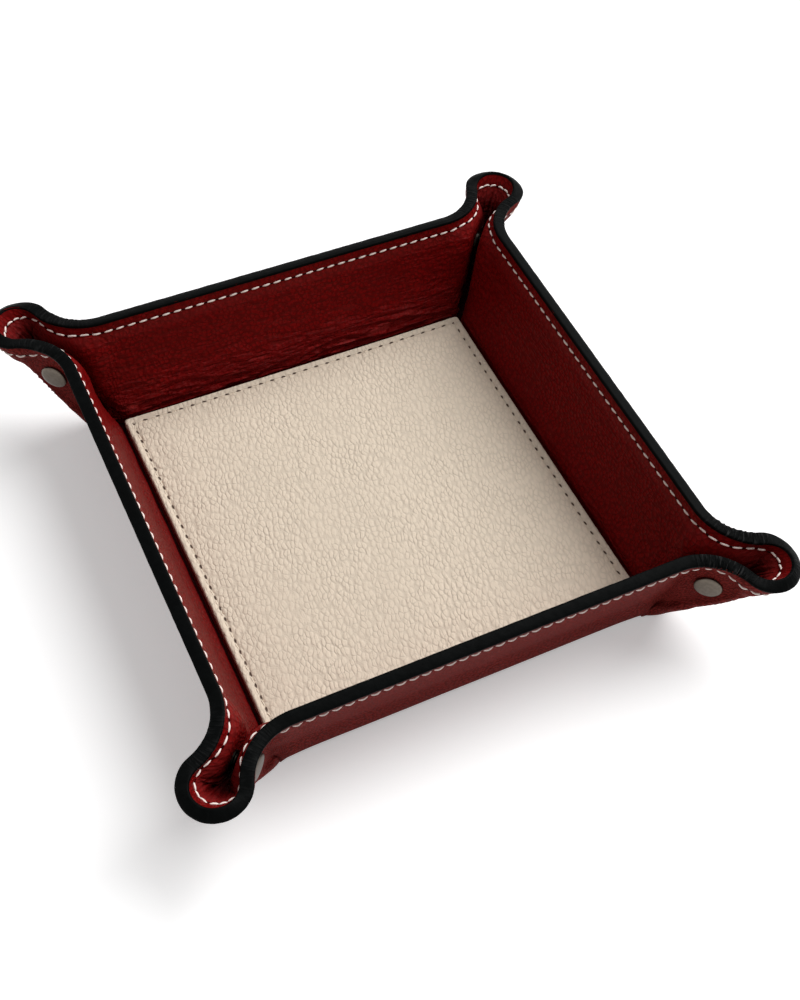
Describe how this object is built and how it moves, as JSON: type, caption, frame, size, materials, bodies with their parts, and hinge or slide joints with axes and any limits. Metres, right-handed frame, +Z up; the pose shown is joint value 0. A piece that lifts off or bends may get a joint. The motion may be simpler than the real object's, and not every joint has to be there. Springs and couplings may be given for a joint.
{
  "type": "valet tray",
  "caption": "Square red leather valet tray with flared walls, looped corners held by press snaps, black painted edges and a stitched beige padded base, for keys and pocket things.",
  "frame": {"origin": "middle of the underside, on the table", "axes": "+Z up out of the tray; +Y towards the back wall and +X towards the right wall, each square to a wall; the pictured camera stands at the front left"},
  "size_m": [0.23, 0.23, 0.0493],
  "materials": {
    "red_leather": "fine pebble grain, satin",
    "red_lining": "fine pebble grain, satin",
    "black_edge_paint": "rounded edge paint, satin",
    "beige_leather": "pebble grain, matt",
    "grey_foam": "thin padding, hidden under the cover",
    "grey_board": "fibre board, hidden under the cover",
    "nickel_snap": "warm grey nickel plate, satin"
  },
  "bodies": {
    "base": {"base_outer": "red_leather", "base_lining": "red_lining", "pad_board": "grey_board", "pad_foam": "grey_foam", "pad_cover": "beige_leather", "back_right_loop_outer": "red_leather", "back_right_loop_lining": "red_lining", "back_right_loop_edge_coat": "black_edge_paint", "front_right_loop_outer": "red_leather", "front_right_loop_lining": "red_lining", "front_right_loop_edge_coat": "black_edge_paint", "front_left_loop_outer": "red_leather", "front_left_loop_lining": "red_lining", "front_left_loop_edge_coat": "black_edge_paint", "back_left_loop_outer": "red_leather", "back_left_loop_lining": "red_lining", "back_left_loop_edge_coat": "black_edge_paint"},
    "back_wall": {"back_wall_outer": "red_leather", "back_wall_lining": "red_lining", "back_wall_edge_coat": "black_edge_paint", "back_right_socket_cap": "nickel_snap", "back_right_socket": "nickel_snap", "back_left_stud": "nickel_snap", "back_left_stud_cap": "nickel_snap"},
    "right_wall": {"right_wall_outer": "red_leather", "right_wall_lining": "red_lining", "right_wall_edge_coat": "black_edge_paint", "front_right_socket_cap": "nickel_snap", "front_right_socket": "nickel_snap", "back_right_stud": "nickel_snap", "back_right_stud_cap": "nickel_snap"},
    "front_wall": {"front_wall_outer": "red_leather", "front_wall_lining": "red_lining", "front_wall_edge_coat": "black_edge_paint", "front_left_socket_cap": "nickel_snap", "front_left_socket": "nickel_snap", "front_right_stud": "nickel_snap", "front_right_stud_cap": "nickel_snap"},
    "left_wall": {"left_wall_outer": "red_leather", "left_wall_lining": "red_lining", "left_wall_edge_coat": "black_edge_paint", "back_left_socket_cap": "nickel_snap", "back_left_socket": "nickel_snap", "front_left_stud": "nickel_snap", "front_left_stud_cap": "nickel_snap"}
  },
  "joints": [
    {"name": "back_wall_open", "type": "hinge", "parent": "base", "child": "back_wall", "pos_m": [0, 0.0752, 0], "axis": [-1, 0, 0], "range_deg": [0, 8], "deforming": ["back_right_loop_outer", "back_right_loop_lining", "back_right_loop_edge_coat", "back_left_loop_outer", "back_left_loop_lining", "back_left_loop_edge_coat"]},
    {"name": "right_wall_open", "type": "hinge", "parent": "base", "child": "right_wall", "pos_m": [0.0752, 0, 0], "axis": [0, 1, 0], "range_deg": [0, 8], "deforming": ["front_right_loop_outer", "front_right_loop_lining", "front_right_loop_edge_coat", "back_right_loop_outer", "back_right_loop_lining", "back_right_loop_edge_coat"]},
    {"name": "front_wall_open", "type": "hinge", "parent": "base", "child": "front_wall", "pos_m": [0, -0.0752, 0], "axis": [1, 0, 0], "range_deg": [0, 8], "deforming": ["front_left_loop_outer", "front_left_loop_lining", "front_left_loop_edge_coat", "front_right_loop_outer", "front_right_loop_lining", "front_right_loop_edge_coat"]},
    {"name": "left_wall_open", "type": "hinge", "parent": "base", "child": "left_wall", "pos_m": [-0.0752, 0, 0], "axis": [0, -1, 0], "range_deg": [0, 8], "deforming": ["back_left_loop_outer", "back_left_loop_lining", "back_left_loop_edge_coat", "front_left_loop_outer", "front_left_loop_lining", "front_left_loop_edge_coat"]}
  ],
  "couplings": [
    {"joint": "back_wall_open", "follows": "front_wall_open", "ratio": 1},
    {"joint": "right_wall_open", "follows": "front_wall_open", "ratio": 1},
    {"joint": "left_wall_open", "follows": "front_wall_open", "ratio": 1}
  ]
}
